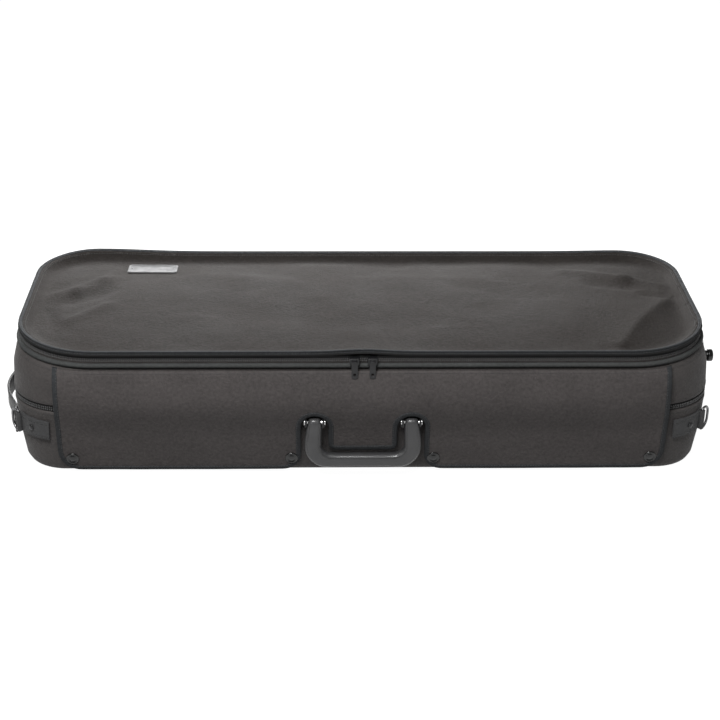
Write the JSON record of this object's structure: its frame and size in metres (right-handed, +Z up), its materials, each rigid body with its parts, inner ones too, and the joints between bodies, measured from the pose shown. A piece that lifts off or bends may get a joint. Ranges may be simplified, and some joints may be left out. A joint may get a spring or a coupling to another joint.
{
  "type": "violin case",
  "caption": "Oblong fabric-covered violin case with a zipped music pocket on its lid, a front weather flap, a hinged carry handle, strap rings and a fitted interior.",
  "frame": {"origin": "on the rest surface under the middle of the base", "axes": "+X along the case, -Y towards the handle, +Z up through the lid"},
  "size_m": [0.8396, 0.3078, 0.156],
  "materials": {
    "canvas": "matte charcoal-brown woven nylon canvas",
    "binding": "dark grey ribbed binding tape",
    "piping": "greenish grey corded piping",
    "zip_tape": "black coil zip on woven tape",
    "lining": "blue-grey plush",
    "leather": "dark grey grained leather, stitched",
    "steel": "nickel-plated wire",
    "black_metal": "black-lacquered metal",
    "badge": "plain satin plate"
  },
  "bodies": {
    "base": {"base_shell": "canvas", "base_lining": "lining", "main_zip_tape_lower": "zip_tape", "hinge_strip_lower": "binding", "snap_stud_1": "steel", "snap_stud_2": "steel", "snap_stud_3": "steel", "snap_stud_4": "steel", "handle_bracket_left": "black_metal", "handle_bracket_right": "black_metal", "handle_pin_left": "steel", "handle_pin_right": "steel", "dring_tab_left": "leather", "dring_tab_right": "leather", "dring_rivet_left": "black_metal", "dring_rivet_right": "black_metal", "end_handle_strap": "leather", "tail_rest": "lining", "shoulder_rest": "lining", "neck_rest": "lining", "neck_strap": "binding", "accessory_box": "lining"},
    "lid": {"lid_shell": "canvas", "lid_lining": "lining", "main_zip_tape_upper": "zip_tape", "hinge_strip_upper": "binding", "lid_piping": "piping", "pocket_wall": "canvas", "pocket_zip_tape_lower": "zip_tape", "pocket_back_gusset": "canvas", "flap_head": "canvas", "end_stud": "black_metal", "bow_clip_base_1": "lining", "bow_clip_base_2": "lining", "bow_tip_loop_1": "binding", "bow_tip_loop_2": "binding"},
    "pocket_cover": {"pocket_cover": "canvas", "pocket_rim": "binding", "pocket_zip_tape_upper": "zip_tape", "badge_plate": "badge"},
    "flap": {"flap_panel": "canvas", "flap_binding": "binding", "snap_cap_1": "black_metal", "snap_cap_2": "black_metal", "snap_cap_3": "black_metal", "snap_cap_4": "black_metal"},
    "handle": {"front_handle": "leather"},
    "ring_left": {"dring_left": "steel"},
    "ring_right": {"dring_right": "steel"},
    "pocket_slider_left": {"pocket_zip_slider_left": "black_metal"},
    "pocket_slider_right": {"pocket_zip_slider_right": "black_metal"},
    "pocket_pull_left": {"pocket_zip_pull_left": "black_metal"},
    "pocket_pull_right": {"pocket_zip_pull_right": "black_metal"},
    "main_slider_left": {"main_zip_slider_left": "black_metal"},
    "main_slider_right": {"main_zip_slider_right": "black_metal"},
    "accessory_lid": {"accessory_lid": "lining", "accessory_tab": "binding"},
    "bow_clip_1": {"bow_clip_1": "black_metal"},
    "bow_clip_2": {"bow_clip_2": "black_metal"}
  },
  "joints": [
    {"name": "lid_hinge", "type": "hinge", "parent": "base", "child": "lid", "pos_m": [0, 0.1468, 0.084], "axis": [-1, 0, 0], "range_deg": [0, 100]},
    {"name": "pocket_hinge", "type": "hinge", "parent": "lid", "child": "pocket_cover", "pos_m": [0, 0.1447, 0.1503], "axis": [-1, 0, 0], "range_deg": [0, 90]},
    {"name": "flap_hinge", "type": "hinge", "parent": "lid", "child": "flap", "pos_m": [0, -0.1501, 0.1247], "axis": [-1, 0, 0], "range_deg": [0, 120]},
    {"name": "handle_swing", "type": "hinge", "parent": "base", "child": "handle", "pos_m": [0, -0.1545, 0.0725], "axis": [-1, 0, 0], "range_deg": [0, 100]},
    {"name": "ring_left_swing", "type": "hinge", "parent": "base", "child": "ring_left", "pos_m": [-0.39128, -0.11905, 0.056], "axis": [0, 0, 1], "range_deg": [-8, 125]},
    {"name": "ring_right_swing", "type": "hinge", "parent": "base", "child": "ring_right", "pos_m": [0.39128, -0.11905, 0.056], "axis": [0, 0, -1], "range_deg": [-8, 125]},
    {"name": "pocket_zip_left", "type": "slide", "parent": "lid", "child": "pocket_slider_left", "axis": [1, 0, 0], "range_m": [-0.28, 0]},
    {"name": "pocket_zip_right", "type": "slide", "parent": "lid", "child": "pocket_slider_right", "axis": [1, 0, 0], "range_m": [0, 0.28]},
    {"name": "pocket_pull_left_swing", "type": "hinge", "parent": "pocket_slider_left", "child": "pocket_pull_left", "pos_m": [-0.01, -0.1516, 0.146], "axis": [-1, 0, 0], "range_deg": [0, 150]},
    {"name": "pocket_pull_right_swing", "type": "hinge", "parent": "pocket_slider_right", "child": "pocket_pull_right", "pos_m": [0.01, -0.1516, 0.146], "axis": [-1, 0, 0], "range_deg": [0, 150]},
    {"name": "main_zip_left", "type": "slide", "parent": "base", "child": "main_slider_left", "axis": [1, 0, 0], "range_m": [-0.27, 0]},
    {"name": "main_zip_right", "type": "slide", "parent": "base", "child": "main_slider_right", "axis": [1, 0, 0], "range_m": [0, 0.27]},
    {"name": "accessory_lid_hinge", "type": "hinge", "parent": "base", "child": "accessory_lid", "pos_m": [-0.21, -0.1196, 0.0662], "axis": [1, 0, 0], "range_deg": [0, 95]},
    {"name": "bow_clip_1_turn", "type": "hinge", "parent": "lid", "child": "bow_clip_1", "pos_m": [0.302, -0.062, 0.1153], "axis": [0, 0, 1], "range_deg": [0, 90]},
    {"name": "bow_clip_2_turn", "type": "hinge", "parent": "lid", "child": "bow_clip_2", "pos_m": [0.302, 0.062, 0.1153], "axis": [0, 0, 1], "range_deg": [0, 90]}
  ]
}
